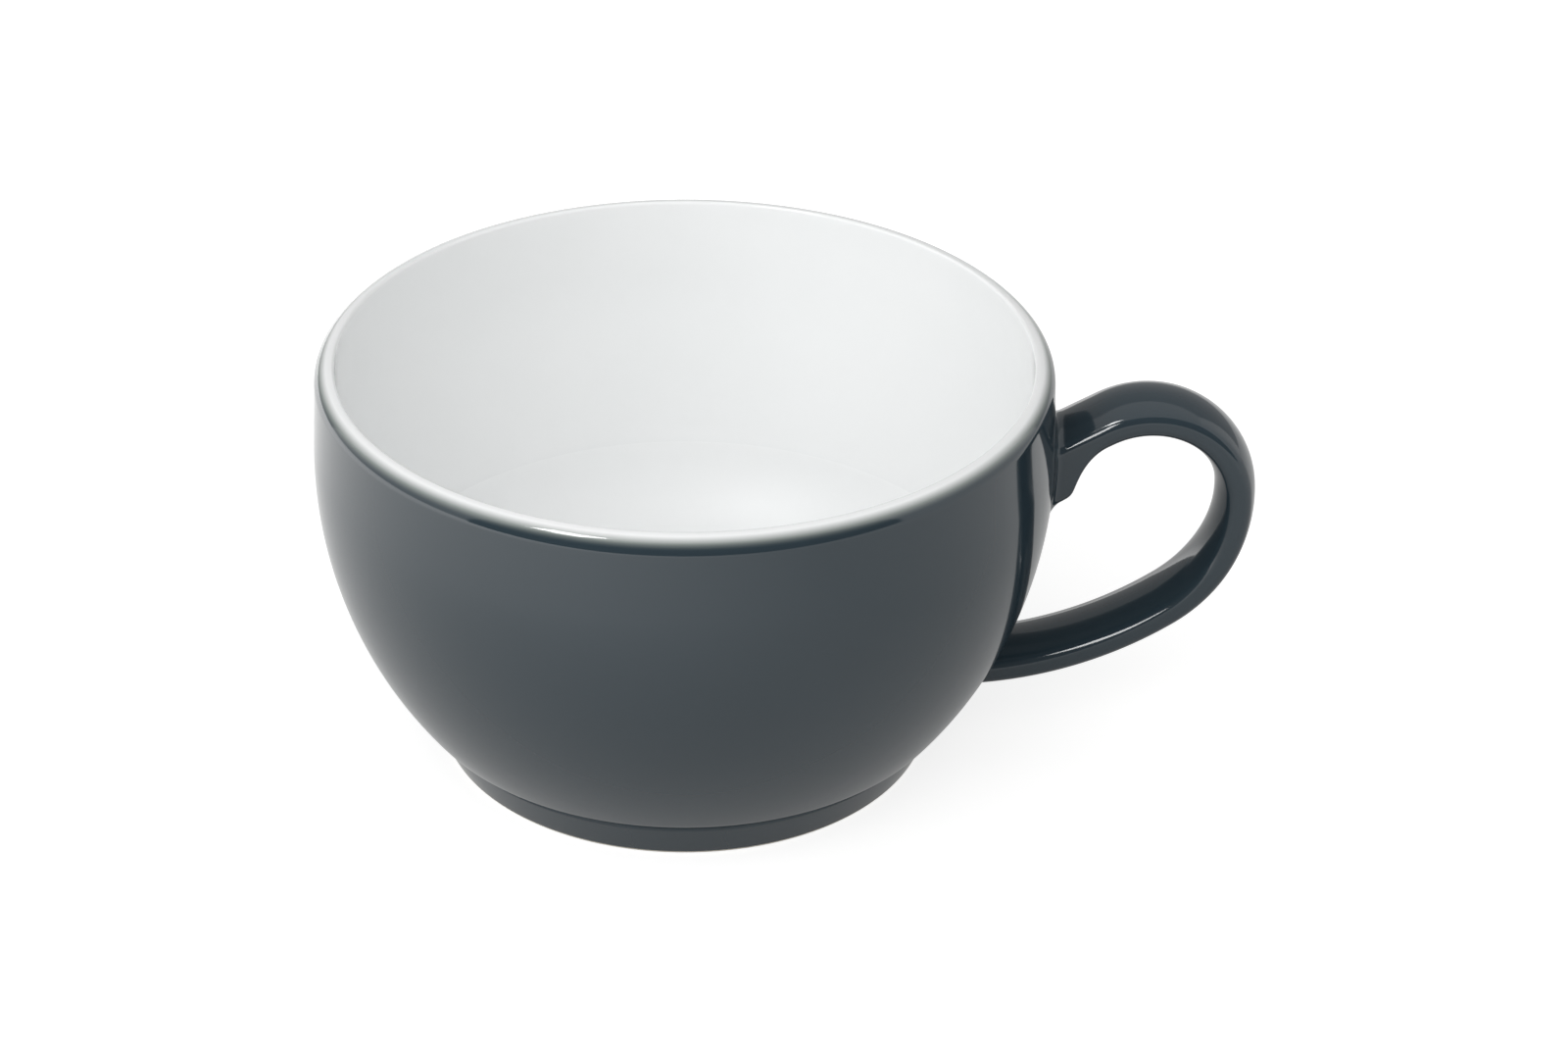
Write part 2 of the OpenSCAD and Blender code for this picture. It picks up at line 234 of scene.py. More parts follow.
@dataclass(frozen=True)
class BareClay:
    """Fired porcelain without glaze: matt, chalky and finely grained."""

    name: str
    body_hex: str
    grain_hex: str
    roughness: float = 0.72
    grain_mm: float = 0.35
    grain_depth_mm: float = 0.02
    ior: float = 1.5

    def material(self) -> bpy.types.Material:
        """Build the clay's shader.

        Returns:
            A material that reads Object coordinates.
        """
        material, shader = new_material(self.name)
        tree = material.node_tree
        place = add_node(tree, "ShaderNodeTexCoord").outputs["Object"]
        grain = add_node(tree, "ShaderNodeTexNoise", {"noise_dimensions": "3D"},
                         {"Vector": place, "Scale": 1 / (self.grain_mm * MM), "Detail": 4.0})
        tone = add_node(tree, "ShaderNodeMix", {"data_type": "RGBA"},
                        {"Factor": grain.outputs["Fac"], "A": linear(self.body_hex),
                         "B": linear(self.grain_hex)})
        bump = add_node(tree, "ShaderNodeBump", {},
                        {"Height": grain.outputs["Fac"], "Distance": self.grain_depth_mm * MM})
        feed(shader, {"Base Color": tone.outputs[2], "Normal": bump.outputs["Normal"],
                      "Roughness": self.roughness, "IOR": self.ior})
        return material


class Finishes:
    """The cup's four finishes, each built once."""

    # Clear white glaze over white porcelain: bright, faintly cool in its depth, mirror-like
    WHITE = Glaze("white_porcelain_glaze", "F7F8F8", "868D8A", "F3F5F5", roughness=0.05,
                  ripple_depth_mm=0.003, cloud_share=0.3, satin_roughness=0.45)
    # Iron-grey slate glaze: near neutral with a blue-green cast, breaking to grey-green where thin
    SLATE = Glaze("slate_grey_glaze", "2C3941", "868D8A", "29363D", roughness=0.08,
                  cloud_share=0.35, ior=1.55)
    # Bisque porcelain on the wiped foot: warm off-white and chalky
    BISQUE = BareClay("bisque_porcelain", "E6E1D6", "D8D2C5")
    # Fired slip in the joints: the same clay with a coarser, greyer grain
    SLIP = BareClay("fired_joining_slip", "DDD6C8", "C9C1B2", grain_mm=0.5)

    def __init__(self) -> None:
        """Build the materials of all finishes."""
        self.materials = {
            Slot.WHITE: self.WHITE.material(),
            Slot.SLATE: self.SLATE.material(),
            Slot.BISQUE: self.BISQUE.material(),
            Slot.SLIP: self.SLIP.material(),
        }

    def dress_node(self, node: str, slot: Slot) -> None:
        """Give a solid that stays in view its finish.

        Args:
            node: name of the solid's node.
            slot: the finish it takes.
        """
        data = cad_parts[node].data
        data.materials.clear()
        data.materials.append(self.materials[slot])
        LOG.info("%s: keeps its solid, in %s", node, slot.value)

    def dress_piece(self, piece: bpy.types.Object, slot: Slot, node: str) -> None:
        """Put a piece that stands for a solid on the cup's body, hide the solid, and log the
        piece's finish.

        Args:
            piece: the finished mesh object.
            slot: the finish it has, which is logged.
            node: name of the node that it stands for.
        """
        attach(piece, "root")
        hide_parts(node)
        LOG.info("%s: %d faces for %s, in %s", piece.name, len(piece.data.polygons), node,
                 slot.value)


def arc(centre: Point, radius: float, start: float, end: float, step_mm: float = 0.35,
        least: int = 6) -> Outline:
    """Points of a circular arc, both ends included.

    Args:
        centre: centre of the circle, in millimetres.
        radius: its radius.
        start: angle of the first point, in degrees from +r.
        end: angle of the last point.
        step_mm: longest chord.
        least: fewest steps.

    Returns:
        The points in order.
    """
    length = abs(radius * math.radians(end - start))
    steps = max(least, math.ceil(length / step_mm))
    angles = (math.radians(start + (end - start) * i / steps) for i in range(steps + 1))
    return [(centre[0] + radius * math.cos(a), centre[1] + radius * math.sin(a)) for a in angles]


def line(start: Point, end: Point, step_mm: float = 1.0) -> Outline:
    """Points of a straight stretch, both ends included.

    Args:
        start: first point, in millimetres.
        end: last point.
        step_mm: longest step.

    Returns:
        The points in order.
    """
    steps = max(1, math.ceil(math.dist(start, end) / step_mm))
    return [(start[0] + (end[0] - start[0]) * i / steps, start[1] + (end[1] - start[1]) * i / steps)
            for i in range(steps + 1)]


def without_repeats(points: Outline, closed: bool) -> Outline:
    """Drop points that repeat the one before them.

    Args:
        points: an outline in millimetres.
        closed: whether the last point is followed by the first.

    Returns:
        The outline with no two neighbours on one spot.
    """
    least_mm = 1e-4
    kept = [p for i, p in enumerate(points) if i == 0 or math.dist(p, points[i - 1]) > least_mm]
    if closed and math.dist(kept[0], kept[-1]) <= least_mm:
        kept.pop()
    return kept


class Wheel:
    """Potter's wheel: turns an outline about the cup's axis with Geometry Nodes."""

    SEGMENTS = 384
    HUB_MM = 1.0
    WELD_MM = 0.001

    def __init__(self) -> None:
        """Build the tree that every turned piece uses."""
        self.tree = bpy.data.node_groups.new("turned_on_the_wheel", "GeometryNodeTree")
        face = self.tree.interface
        face.new_socket("Outline", in_out="INPUT", socket_type="NodeSocketGeometry")
        self.sockets = {
            name: face.new_socket(name, in_out="INPUT", socket_type=kind).identifier
            for name, kind in (("Segments", "NodeSocketInt"), ("Hub radius", "NodeSocketFloat"),
                               ("Weld distance", "NodeSocketFloat"),
                               ("Finish", "NodeSocketMaterial"))}
        face.new_socket("Turned", in_out="OUTPUT", socket_type="NodeSocketGeometry")
        self._fill()

    def _fill(self) -> None:
        """Add the nodes: sweep the outline round a small hub circle and weld it at the axis."""
        tree = self.tree
        given = add_node(tree, "NodeGroupInput").outputs
        outline = add_node(tree, "GeometryNodeMeshToCurve", {}, {"Mesh": given["Outline"]})
        hub = add_node(tree, "GeometryNodeCurvePrimitiveCircle", {"mode": "RADIUS"},
                       {"Resolution": given["Segments"], "Radius": given["Hub radius"]})
        turned = add_node(tree, "GeometryNodeCurveToMesh", {},
                          {"Curve": hub.outputs["Curve"],
                           "Profile Curve": outline.outputs["Curve"]})
        welded = add_node(tree, "GeometryNodeMergeByDistance", {},
                          {"Geometry": turned.outputs["Mesh"], "Distance": given["Weld distance"]})
        smooth = add_node(tree, "GeometryNodeSetShadeSmooth", {},
                          {"Geometry": welded.outputs["Geometry"]})
        finished = add_node(tree, "GeometryNodeSetMaterial", {},
                            {"Geometry": smooth.outputs["Geometry"], "Material": given["Finish"]})
        plain = add_node(tree, "GeometryNodeRealizeInstances", {},
                         {"Geometry": finished.outputs["Geometry"]})
        add_node(tree, "NodeGroupOutput", {}, {"Turned": plain.outputs["Geometry"]})

    def turn(self, name: str, points: Outline, closed: bool, finish: bpy.types.Material,
             thin: list[float] | None = None) -> bpy.types.Object:
        """Turn an outline into a closed mesh.

        Args:
            name: name of the piece.
            points: outline as (radius, height) in millimetres.
            closed: whether it is a loop; otherwise both its ends are on the axis.
            finish: material of the piece.
            thin: share of the thin glaze's colour at each point, 0 to 1, which on the foot's brow
                is a painted highlight.

        Returns:
            The finished mesh object, at the origin.
        """
        data = bpy.data.meshes.new(name + "_outline")
        hub = self.HUB_MM
        count = len(points)
        edges = [(i, (i + 1) % count) for i in range(count if closed else count - 1)]
        data.from_pydata([((r - hub) * MM, -z * MM, 0.0) for r, z in points], edges, [])
        values = data.attributes.new("thin", "FLOAT", "POINT")
        values.data.foreach_set("value", thin or [0.0] * count)
        source = add_object(name + "_outline", data)
        modifier = source.modifiers.new("wheel", "NODES")
        modifier.node_group = self.tree
        modifier[self.sockets["Segments"]] = self.SEGMENTS
        modifier[self.sockets["Hub radius"]] = hub * MM
        modifier[self.sockets["Weld distance"]] = self.WELD_MM * MM
        modifier[self.sockets["Finish"]] = finish
        return plain_piece(name, source)


def plain_piece(name: str, source: bpy.types.Object) -> bpy.types.Object:
    """Turn an object with modifiers into a plain closed mesh whose faces point outwards.

    Args:
        name: name of the piece.
        source: the object to evaluate, which is removed.

    Returns:
        The new mesh object, at the origin.
    """
    graph = bpy.context.evaluated_depsgraph_get()
    data = bpy.data.meshes.new_from_object(source.evaluated_get(graph))
    data.name = name
    bpy.data.objects.remove(source)
    if signed_volume(data) < 0:
        data.flip_normals()
    data.shade_smooth()
    data.set_sharp_from_angle(angle=math.radians(CREASE_DEGREES))
    return add_object(name, data)


def signed_volume(data: bpy.types.Mesh) -> float:
    """Volume inside a closed mesh, negative where its faces point inwards.

    Args:
        data: the mesh.

    Returns:
        Volume in cubic metres.
    """
    data.calc_loop_triangles()
    total = 0.0
    for triangle in data.loop_triangles:
        a, b, c = (data.vertices[i].co for i in triangle.vertices)
        total += a.dot(b.cross(c)) / 6
    return total


@dataclass
class Bowl:
    """The turned bowl: its wall is one arc from the foot to the belly, then a leaning collar."""

    wheel: Wheel
    cup_h: float = 60.6
    belly_d: float = 105.0
    belly_z: float = 45.4
    belly_curve_r: float = 63.2
    collar_lean: float = 3.2
    wall_t: float = 2.8
    lip_outer_share: float = 0.89
    floor_t: float = 4.2
    floor_flat_share: float = 0.6
    foot_top_share: float = 0.733
    hem_r: float = 0.8
    hem_z: float = 7.4
    recess_h: float = 3.2
    glaze_t: float = 0.3
    colour_end: float = 46.0
    veil_start: float = 71.0
    veil_end: float = 24.0

    def __post_init__(self) -> None:
        """Work out the arcs' centres from the sizes."""
        lean = math.radians(self.collar_lean)
        self.hollow_r = self.belly_curve_r - self.wall_t
        self.curve_c = (self.belly_d / 2 - self.belly_curve_r, self.belly_z)
        hem_height = self.hem_z + self.hem_r
        self.hem_c = (self.curve_x(self.belly_curve_r - self.hem_r, hem_height), hem_height)
        self.lip_outer_r = self.lip_outer_share * self.wall_t
        self.lip_inner_r = ((self.wall_t - self.lip_outer_r * (1 - math.sin(lean)))
                            / (1 + math.sin(lean)))
        foot_x = self.curve_c[0] + self.belly_curve_r * math.cos(lean)
        foot_z = self.curve_c[1] + self.belly_curve_r * math.sin(lean)
        rise = self.cup_h - self.lip_outer_r * (1 - math.sin(lean)) - foot_z
        lip_x = foot_x - rise * math.tan(lean) - self.lip_outer_r * math.cos(lean)
        self.lip_c = (lip_x, self.cup_h - self.lip_outer_r)
        self.lip_inner_c = (lip_x, self.cup_h - self.lip_inner_r)
        self.floor_z = self.recess_h + self.floor_t
        flat_r = self.floor_flat_share * self.foot_top_share * self.belly_d / 2
        away_x, away_z = flat_r - self.curve_c[0], self.floor_z - self.curve_c[1]
        self.floor_curve_r = ((self.hollow_r ** 2 - away_x ** 2 - away_z ** 2)
                              / 2 / (self.hollow_r + away_z))
        self.floor_c = (flat_r, self.floor_z + self.floor_curve_r)
        self.hem_angle = self.angle_from_curve(self.hem_c)
        self.floor_angle = self.angle_from_curve(self.floor_c)

    def curve_x(self, radius: float, height: float) -> float:
        """Distance from the axis of a circle about the wall's centre, at a height."""
        return self.curve_c[0] + math.sqrt(radius ** 2 - (height - self.belly_z) ** 2)

    def angle_from_curve(self, point: Point) -> float:
        """Angle of a point seen from the wall's centre, in degrees."""
        return math.degrees(math.atan2(point[1] - self.curve_c[1], point[0] - self.curve_c[0]))

    def outer_skin(self, grow: float, top: float) -> Outline:
        """Outer outline from the groove up to an angle on the lip, grown from the glazed size.

        Args:
            grow: distance outwards from the glazed surface, in millimetres.
            top: angle on the lip's outer rounding at which it ends.

        Returns:
            The points from the bottom up.
        """
        lean = self.collar_lean
        hem = arc(self.hem_c, self.hem_r + grow, -90, self.hem_angle)
        wall = arc(self.curve_c, self.belly_curve_r + grow, self.hem_angle, lean, WALL_STEP_MM)
        lip = arc(self.lip_c, self.lip_outer_r + grow, lean, top, ROUNDING_STEP_MM)
        return hem + wall + line(wall[-1], lip[0]) + lip

    def inner_skin(self, grow: float, top: float) -> Outline:
        """Inner outline from the axis up over the crown to an angle on the lip's outer rounding.

        Args:
            grow: distance from the glazed surface into the hollow, in millimetres.
            top: angle on the lip's outer rounding at which it ends.

        Returns:
            The points from the floor's middle outwards and up.
        """
        lean = self.collar_lean
        bend = arc(self.floor_c, self.floor_curve_r - grow, -90, self.floor_angle)
        wall = arc(self.curve_c, self.hollow_r - grow, self.floor_angle, lean, WALL_STEP_MM)
        inner_lip = arc(self.lip_inner_c, self.lip_inner_r + grow, lean + 180, 90,
                        ROUNDING_STEP_MM)
        outer_lip = arc(self.lip_c, self.lip_outer_r + grow, 90, top, ROUNDING_STEP_MM)
        floor = line((0.0, self.floor_z + grow), bend[0])
        return floor + bend + wall + line(wall[-1], inner_lip[0]) + inner_lip + outer_lip

    def veil_at(self, point: Point) -> float:
        """Share of grey-green at a point, where the sprayed slate thins out over the white rim.

        Args:
            point: radius and height, in millimetres.

        Returns:
            A share from 0 to 1: it is 1 where the two coats meet, and fades out in both.
        """
        if point[1] < self.lip_c[1] or point[0] < self.lip_c[0]:
            return 0.0
        angle = math.degrees(math.atan2(point[1] - self.lip_c[1], point[0] - self.lip_c[0]))
        if angle > self.colour_end:
            return max(0.0, (self.veil_start - angle) / (self.veil_start - self.colour_end))
        return max(0.0, (angle - self.veil_end) / (self.colour_end - self.veil_end)) ** 2

    def build(self, finishes: Finishes) -> None:
        """Make the bowl's two coats and finish its clay.

        Args:
            finishes: the cup's materials.
        """
        inside = self.inner_skin(0.0, self.colour_end)
        inside += self.inner_skin(-self.glaze_t, self.colour_end)[::-1]
        inside = without_repeats(inside, False)
        white = self.wheel.turn("white_inner_coat", inside, False, finishes.materials[Slot.WHITE],
                                [self.veil_at(p) for p in inside])
        finishes.dress_piece(white, Slot.WHITE, "inner_glaze")

        outside = self.outer_skin(0.0, self.colour_end)
        outside += self.outer_skin(-self.glaze_t, self.colour_end)[::-1]
        outside = [(self.hem_c[0] - self.hem_r, self.hem_z)] + outside
        outside.append((self.hem_c[0] - self.hem_r, self.hem_z + self.glaze_t))
        outside = without_repeats(outside, True)
        slate = self.wheel.turn("slate_outer_coat", outside, True, finishes.materials[Slot.SLATE],
                                [self.veil_at(p) for p in outside])
        finishes.dress_piece(slate, Slot.SLATE, "outer_glaze")
        finishes.dress_node("bowl", Slot.BISQUE)


@dataclass
class Foot:
    """The turned foot ring, its groove and the recess inside it."""

    wheel: Wheel
    belly_d: float = 105.0
    foot_h: float = 6.5
    foot_top_share: float = 0.733
    foot_base_share: float = 0.676
    foot_wall_t: float = 3.0
    foot_base_r: float = 1.0
    foot_brow_r: float = 0.6
    groove_h: float = 0.9
    groove_depth: float = 0.7
    recess_h: float = 3.2
    bare_h: float = 0.6
    glaze_t: float = 0.3
    # Lighter grey-green along the brow: a painted highlight
    brow_highlight_paint: float = 0.25
    brow_near: float = 0.2
    brow_far: float = 0.9

    def __post_init__(self) -> None:
        """Work out the taper and the two roundings from the sizes."""
        self.base_x = self.foot_base_share * self.belly_d / 2
        self.top_x = self.foot_top_share * self.belly_d / 2
        self.taper = math.degrees(math.atan((self.top_x - self.base_x) / self.foot_h))
        self.base_c = self.rounding_centre(self.foot_base_r, self.foot_base_r)
        self.brow_c = self.rounding_centre(self.foot_h - self.foot_brow_r, self.foot_brow_r)
        self.groove_x = self.top_x - self.groove_depth
        self.bore_x = self.base_x - self.foot_wall_t

    def side_x(self, height: float) -> float:
        """Outside radius of the tapered side at a height."""
        return self.base_x + height * math.tan(math.radians(self.taper))

    def rounding_centre(self, height: float, radius: float) -> Point:
        """Centre of a rounding that is tangent to the side."""
        return (self.side_x(height) - radius / math.cos(math.radians(self.taper)), height)

    def side(self, grow: float) -> Outline:
        """The ring's outline from its base edge up to its brow.

        Args:
            grow: distance outwards from the glazed size, in millimetres.

        Returns:
            The points from the bottom up.
        """
        base = arc(self.base_c, self.foot_base_r + grow, -90, -self.taper, step_mm=0.1)
        brow = arc(self.brow_c, self.foot_brow_r + grow, -self.taper, 90, ROUNDING_STEP_MM)
        return base + line(base[-1], brow[0], step_mm=0.5) + brow

    def build(self, finishes: Finishes) -> None:
        """Make the foot's coats and its bare ring.

        Args:
            finishes: the cup's materials.
        """
        t = self.glaze_t
        top = self.foot_h + self.groove_h
        skin = [p for p in self.side(0.0) if p[1] > self.bare_h]
        clay = [p for p in self.side(-t) if p[1] > self.bare_h]
        start = (self.bare_radius(0.0), self.bare_h)
        back = (self.bare_radius(-t), self.bare_h)
        coat = [start] + skin + [(self.groove_x, self.foot_h), (self.groove_x, top),
                                 (self.groove_x - t, top), (self.groove_x - t, self.foot_h - t)]
        coat += clay[::-1] + [back]
        coat = without_repeats(coat, True)
        # The coat's lighter brow is a painted highlight
        slate = self.wheel.turn("slate_foot_coat", coat, True, finishes.materials[Slot.SLATE],
                                [self.painted_brow_highlight_at(p) for p in coat])
        finishes.dress_piece(slate, Slot.SLATE, "foot_glaze")

        under = [(0.0, self.recess_h), (self.bore_x, self.recess_h), (self.bore_x, self.bare_h),
                 (self.bore_x + t, self.bare_h), (self.bore_x + t, self.recess_h + t),
                 (0.0, self.recess_h + t)]
        white = self.wheel.turn("white_underside_coat", under, False,
                                finishes.materials[Slot.WHITE])
        finishes.dress_piece(white, Slot.WHITE, "underside_glaze")

        base = [p for p in self.side(0.0) if p[1] < self.bare_h]
        ring = [(self.bore_x + self.bare_h, 0.0)] + base + [start, back] + clay
        ring += [(self.groove_x - t, self.foot_h - t), (self.groove_x - t, top + t),
                 (self.bore_x + t, top + t), (self.bore_x + t, self.bare_h),
                 (self.bore_x, self.bare_h)]
        bare = self.wheel.turn("bare_foot_ring", without_repeats(ring, True), True,
                               finishes.materials[Slot.BISQUE])
        finishes.dress_piece(bare, Slot.BISQUE, "foot_ring")

    def bare_radius(self, grow: float) -> float:
        """Radius of the ring's side at the height where the glaze is wiped off."""
        rise = self.bare_h - self.base_c[1]
        return self.base_c[0] + math.sqrt(max(0.0, (self.foot_base_r + grow) ** 2 - rise ** 2))

    def painted_brow_highlight_at(self, point: Point) -> float:
        """Share of lighter grey-green on the ring along its brow: a painted highlight."""
        near = abs(point[1] - self.foot_h) + abs(point[0] - self.side_x(self.foot_h))
        return self.brow_highlight_paint * (1 - smooth_step(self.brow_near, self.brow_far, near))


@dataclass
class Handle:
    """The cast loop handle: one section swept along a neck, two turns and a long lower arm."""

    bowl: Bowl
    handle_w: float = 11.4
    handle_t: float = 5.6
    face_crown: float = 1.4
    edge_r: float = 1.5
    neck_z: float = 46.2
    neck_rise: float = 29.0
    neck_l: float = 8.1
    loop_r: float = 12.9
    loop_turn: float = 113.0
    flank_r: float = 21.6
    flank_turn: float = 60.5
    arm_r: float = 54.6
    arm_turn: float = 32.0
    heel_drop: float = 4.8
    heel_tip_l: float = 3.6
    heel_nose_l: float = 0.7
    heel_fade_l: float = 8.0
    neck_fillet_r: float = 1.5
    arm_fillet_r: float = 1.0
    glaze_t: float = 0.3
    flare_rings: int = 14
    heel_rings: int = 40
    loop_rings: int = 150
    arm_rings: int = 16
    crown_steps: int = 8
    edge_steps: int = 8
    side_steps: int = 6
    seat_rounds: int = 8

    def __post_init__(self) -> None:
        """Work out the section and the centre line from the sizes."""
        self.crown_r = (self.handle_w ** 2 / 4 + self.face_crown ** 2) / (2 * self.face_crown)
        self.crown_end = math.degrees(
            math.asin((self.handle_w / 2 - self.edge_r) / (self.crown_r - self.edge_r)))
        self.crown_n = self.handle_t / 2 - self.crown_r
        self.edge_n = (self.crown_n
                       + (self.crown_r - self.edge_r) * math.cos(math.radians(self.crown_end)))
        self.legs = [(self.neck_l, 0.0)]
        for radius, turn in ((self.loop_r, self.loop_turn), (self.flank_r, self.flank_turn),
                             (self.arm_r, self.arm_turn)):
            self.legs.append((radius * math.radians(turn), radius))
        self.legs_l = sum(length for length, _ in self.legs)
        self.start = (self.bowl.curve_x(self.bowl.belly_curve_r, self.neck_z), self.neck_z,
                      self.neck_rise)
        end = self.pose_at(self.legs_l)
        self.arm_contact = self.legs_l + self.run_to_wall(end)
        arm = self.pose_at(self.arm_contact)
        self.neck_slant = self.neck_rise - self.wall_lean(self.neck_z)
        self.arm_slant = arm[2] + 180 - self.wall_lean(arm[1])
        self.neck_run = self.neck_fillet_r / math.cos(math.radians(self.neck_slant))
        self.arm_run = self.arm_fillet_r / math.cos(math.radians(self.arm_slant))
        self.arm_fade = self.arm_contact - self.arm_run - self.handle_t

    def wall_lean(self, height: float) -> float:
        """Height of the wall's outward normal above level, in degrees."""
        return math.degrees(math.asin((height - self.bowl.belly_z) / self.bowl.belly_curve_r))

    def pose_at(self, distance: float) -> tuple[float, float, float]:
        """Place and heading along the centre line.

        Args:
            distance: how far from the wall, in millimetres. Past its ends the line is straight.

        Returns:
            x, z and the heading in degrees above +X.
        """
        x, z, heading = self.start
        rest = distance
        for number, (length, radius) in enumerate(self.legs + [(math.inf, 0.0)]):
            part = rest if number == 0 and rest < 0 else min(rest, length)
            before = math.radians(heading)
            if radius == 0:
                x, z = x + part * math.cos(before), z + part * math.sin(before)
            else:
                after = before - part / radius
                x += radius * (math.sin(before) - math.sin(after))
                z -= radius * (math.cos(before) - math.cos(after))
                heading = math.degrees(after)
            rest -= part
            if rest <= 0:
                break
        return x, z, heading

    def run_to_wall(self, pose: tuple[float, float, float]) -> float:
        """Straight run from a pose to the wall's glazed surface.

        Args:
            pose: x, z and heading, as pose_at gives them.

        Returns:
            The run in millimetres.
        """
        away = Vector((pose[0] - self.bowl.curve_c[0], pose[1] - self.bowl.curve_c[1]))
        way = Vector((math.cos(math.radians(pose[2])), math.sin(math.radians(pose[2]))))
        across = away.dot(way)
        return -across - math.sqrt(across ** 2 - away.length_squared + self.bowl.belly_curve_r ** 2)

    def heel(self, distance: float) -> float:
        """Extra depth of the heel under the neck.

        Args:
            distance: how far along the neck from the wall, in millimetres.

        Returns:
            The depth in millimetres.
        """
        past = distance - self.heel_tip_l
        faded = (past + math.hypot(past, self.heel_nose_l)) / 2
        left = max(0.0, 1 - faded / self.heel_fade_l)
        return self.heel_drop * left * left

    def section(self, grow: float) -> list[tuple[float, float, float]]:
        """Points of the section, grown outwards.

        Args:
            grow: distance from the glazed size, in millimetres.

        Returns:
            Across, outwards and the share of the heel's drop, for each point in order.
        """
        end = self.crown_end
        angles = [-90 + (90 - end) * i / self.edge_steps for i in range(self.edge_steps)]
        angles += [end * i / self.crown_steps
                   for i in range(-self.crown_steps, self.crown_steps + 1)]
        angles += [end + (90 - end) * i / self.edge_steps for i in range(1, self.edge_steps + 1)]
        outer = [self.face_point(a, grow) for a in angles]
        inner = [self.face_point(-a, grow) for a in angles]
        inside = shares(self.side_steps)[:-1]
        half = self.handle_w / 2 + grow
        points = [(x, n, 0.0) for x, n in outer]
        points += [(half, self.edge_n * (1 - 2 * t), t) for t in inside]
        points += [(x, -n, 1.0) for x, n in inner]
        points += [(-half, self.edge_n * (2 * t - 1), 1 - t) for t in inside]
        return points

    def face_point(self, angle: float, grow: float) -> Point:
        """Point of a face of the section.

        Args:
            angle: how far the face's normal leans there, in degrees.
            grow: distance outwards from the glazed size, in millimetres.

        Returns:
            Across and outwards.
        """
        a = math.radians(angle)
        if abs(angle) <= self.crown_end:
            across, out, radius = 0.0, self.crown_n, self.crown_r + grow
        else:
            across = math.copysign(self.handle_w / 2 - self.edge_r, angle)
            out, radius = self.edge_n, self.edge_r + grow
        return (across + radius * math.sin(a), out + radius * math.cos(a))

    def place(self, distance: float, across: float, out: float) -> Vector:
        """Place in space of a point of the section.

        Args:
            distance: how far along the centre line.
            across: the point's place across the handle.
            out: its place outwards from the centre line.

        Returns:
            The place in millimetres.
        """
        x, z, heading = self.pose_at(distance)
        turn = math.radians(heading)
        return Vector((x - out * math.sin(turn), across, z + out * math.cos(turn)))

    def wall_gap(self, point: Vector) -> float:
        """Distance from a point to the glazed wall.

        Args:
            point: a place in millimetres.

        Returns:
            The distance in millimetres, below 0 behind the wall's surface.
        """
        away = Vector((math.hypot(point.x, point.y) - self.bowl.curve_c[0],
                       point.z - self.bowl.curve_c[1]))
        lean = math.radians(self.bowl.collar_lean)
        if math.atan2(away.y, away.x) > lean:
            return away.dot(Vector((math.cos(lean), math.sin(lean)))) - self.bowl.belly_curve_r
        return away.length - self.bowl.belly_curve_r

    def seat(self, across: float, out: float, at_neck: bool) -> float:
        """Distance along the centre line at which a section's point comes to the wall.

        Args:
            across: the point's place across the handle.
            out: its place outwards from the centre line.
            at_neck: whether the neck's end is meant, or the arm's.

        Returns:
            The distance in millimetres.
        """
        distance = 0.0 if at_neck else self.arm_contact
        slant = math.cos(math.radians(self.neck_slant if at_neck else self.arm_slant))
        sense = -1 if at_neck else 1
        for _ in range(self.seat_rounds):
            distance += sense * self.wall_gap(self.place(distance, across, out)) / slant
        return distance

    def rings(self) -> list[tuple[float, float, float]]:
        """Rings of the sweep.

        Returns:
            For each ring its distance, its share of the wall's slant, and its flare.
        """
        turns = [math.radians(90 * i / self.flare_rings) for i in range(self.flare_rings + 1)]
        rings = [(self.neck_run * (1 - math.cos(t)), 1.0, self.neck_fillet_r * (1 - math.sin(t)))
                 for t in turns]
        rings += [(self.neck_run + (self.neck_l - self.neck_run) * part, 1 - part, 0.0)
                  for part in shares(self.heel_rings)]
        rings += [(self.neck_l + (self.arm_fade - self.neck_l) * part, 0.0, 0.0)
                  for part in shares(self.loop_rings)]
        rings += [(self.arm_fade + self.handle_t * part, part, 0.0)
                  for part in shares(self.arm_rings)]
        rings += [(self.arm_contact - self.arm_run * (1 - math.sin(t)), 1.0,
                   self.arm_fillet_r * (1 - math.cos(t))) for t in turns[1:]]
        return rings

    def skin(self, grow: float) -> list[list[Vector]]:
        """Points of the swept surface, ring by ring, grown from the glazed size.

        Args:
            grow: distance outwards in millimetres.

        Returns:
            One list of points for each ring.
        """
        surface = []
        for distance, slant_share, flare in self.rings():
            at_neck = distance < self.legs_l / 2
            deepest = self.heel_drop if at_neck else 0.0
            ring = []
            for across, out, heel_share in self.section(grow + flare):
                seat = self.seat(across, out - deepest * heel_share, at_neck)
                s = distance + slant_share * (seat if at_neck else seat - self.arm_contact)
                drop = self.heel(s - seat) if at_neck else 0.0
                ring.append(self.place(s, across, out - drop * heel_share))
            surface.append(ring)
        return surface

